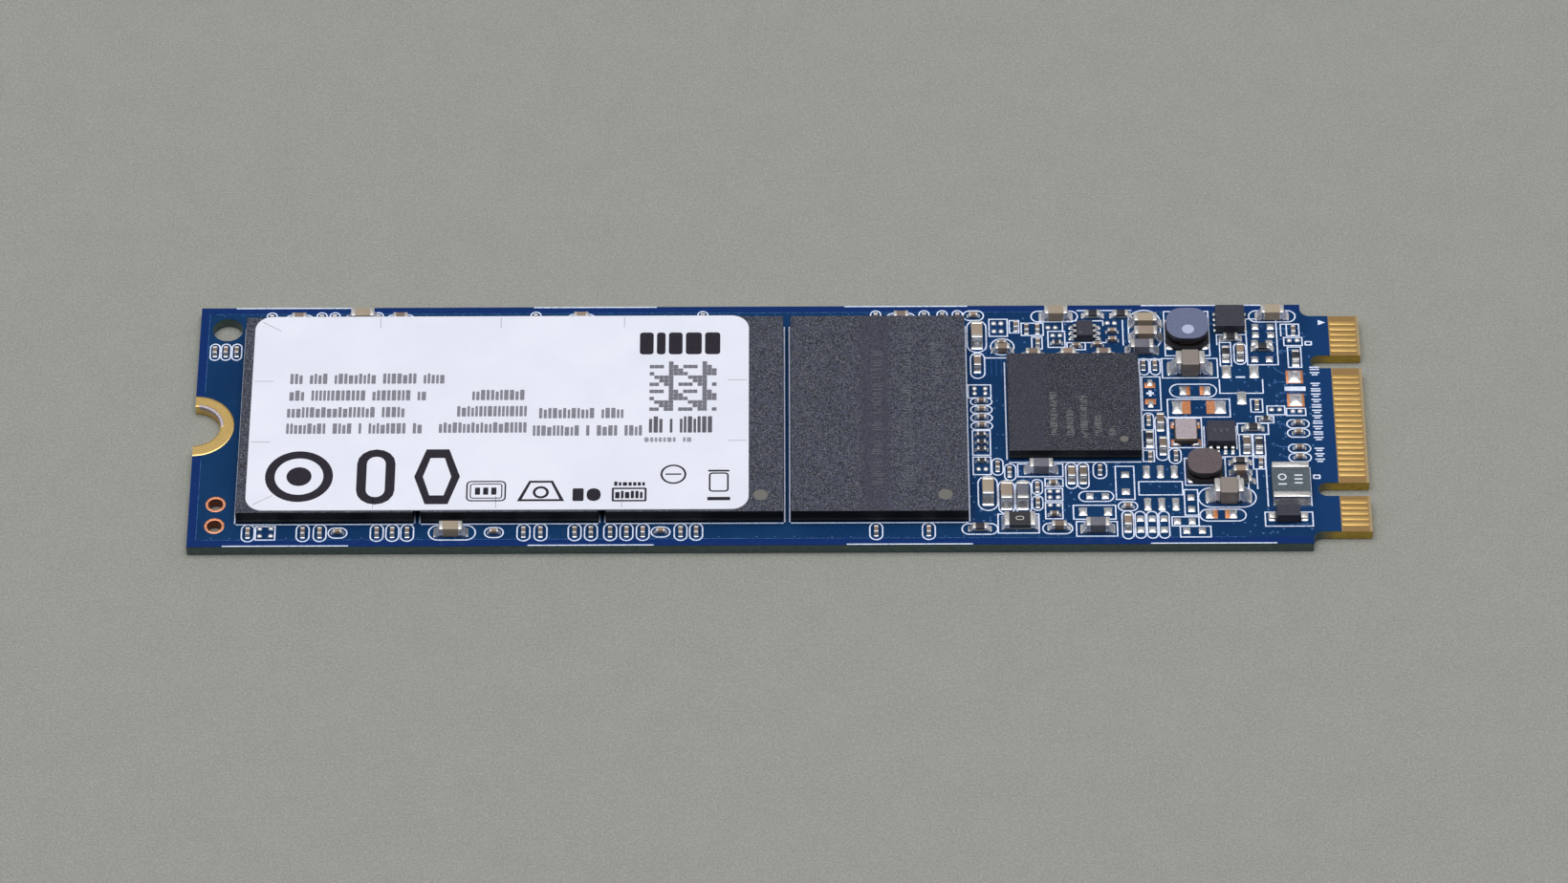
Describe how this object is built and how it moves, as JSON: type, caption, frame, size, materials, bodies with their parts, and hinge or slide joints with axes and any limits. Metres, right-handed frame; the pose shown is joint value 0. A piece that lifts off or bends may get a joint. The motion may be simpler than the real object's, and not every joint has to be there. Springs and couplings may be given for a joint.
{
  "type": "solid state drive",
  "caption": "Flat solid state drive card with stacked memory packages, a controller, a blank label, a half-round screw notch and a keyed edge connector.",
  "frame": {"origin": "centre of the card's underside, midway between the mounting end and the tip of the edge connector", "axes": "+X along the card to the edge connector's tip, +Y across the card to the contact 1 side, +Z out of the face that carries the parts"},
  "size_m": [0.08, 0.022, 0.002],
  "materials": {
    "bare_copper": "copper, satin",
    "bead_ferrite": "grey ferrite",
    "board_laminate": "glass fibre laminate, dark olive edge, olive gold bare face",
    "brown_ferrite": "brown ferrite",
    "capacitor_ceramic": "fired ceramic, tan to brown",
    "crystal_lid_metal": "plated metal lid, satin",
    "dark_ceramic": "dark fired ceramic",
    "enamelled_winding": "enamelled copper wire in dark resin",
    "fuse_coating": "slate coating",
    "gold_plating": "gold plated copper, satin",
    "grey_ferrite": "grey coated ferrite",
    "label_film": "white printed film, satin",
    "legend_ink": "printed white legend ink",
    "moulding_compound": "black epoxy moulding compound, fine speckle",
    "package_substrate": "dark laminate",
    "resistor_coating": "black glaze",
    "silicon": "silicon, sealed inside the packages",
    "small_moulding": "black epoxy moulding compound",
    "solder": "bright solder",
    "solder_mask": "glossy blue solder mask",
    "tinned_metal": "tin plated terminals"
  },
  "bodies": {
    "root": {"board_laminate": "board_laminate", "solder_mask_top": "solder_mask", "solder_mask_bottom": "solder_mask", "edge_contacts_top": "gold_plating", "edge_contacts_bottom": "gold_plating", "mounting_ring": "gold_plating", "test_hole_eyelets": "bare_copper", "bare_pads": "solder", "pad_copper": "bare_copper", "legend_print": "legend_ink", "flash_package_1": "moulding_compound", "flash_package_2": "moulding_compound", "flash_package_3": "moulding_compound", "flash_package_4": "moulding_compound", "flash_substrate_1": "package_substrate", "flash_substrate_2": "package_substrate", "flash_substrate_3": "package_substrate", "flash_substrate_4": "package_substrate", "flash_solder_balls": "solder", "controller_package": "moulding_compound", "controller_substrate": "package_substrate", "controller_solder_balls": "solder", "silicon_dies": "silicon", "label": "label_film", "boost_inductor_core": "grey_ferrite", "boost_inductor_winding": "enamelled_winding", "boost_inductor_terminals": "tinned_metal", "buck_inductor_core": "brown_ferrite", "buck_inductor_winding": "enamelled_winding", "buck_inductor_terminals": "tinned_metal", "crystal_base": "dark_ceramic", "crystal_lid": "crystal_lid_metal", "crystal_terminals": "bare_copper", "fuse_body": "fuse_coating", "fuse_terminals": "tinned_metal", "diode_body": "small_moulding", "diode_leads": "tinned_metal", "converter_body": "small_moulding", "converter_leads": "tinned_metal", "load_switch_body": "small_moulding", "load_switch_leads": "tinned_metal", "power_manager_body": "small_moulding", "power_manager_pads": "tinned_metal", "capacitor_bodies_0201": "capacitor_ceramic", "capacitor_terminals_0201": "tinned_metal", "capacitor_bodies_0402": "capacitor_ceramic", "capacitor_terminals_0402": "tinned_metal", "capacitor_bodies_0603": "capacitor_ceramic", "capacitor_terminals_0603": "tinned_metal", "capacitor_bodies_0805": "capacitor_ceramic", "capacitor_terminals_0805": "tinned_metal", "resistor_bodies_0201": "resistor_coating", "resistor_terminals_0201": "tinned_metal", "resistor_bodies_0402": "resistor_coating", "resistor_terminals_0402": "tinned_metal", "ferrite_bead_bodies": "bead_ferrite", "ferrite_bead_terminals": "tinned_metal", "zero_ohm_link_body": "resistor_coating", "zero_ohm_link_terminals": "tinned_metal", "solder_joints": "solder"}
  },
  "joints": []
}
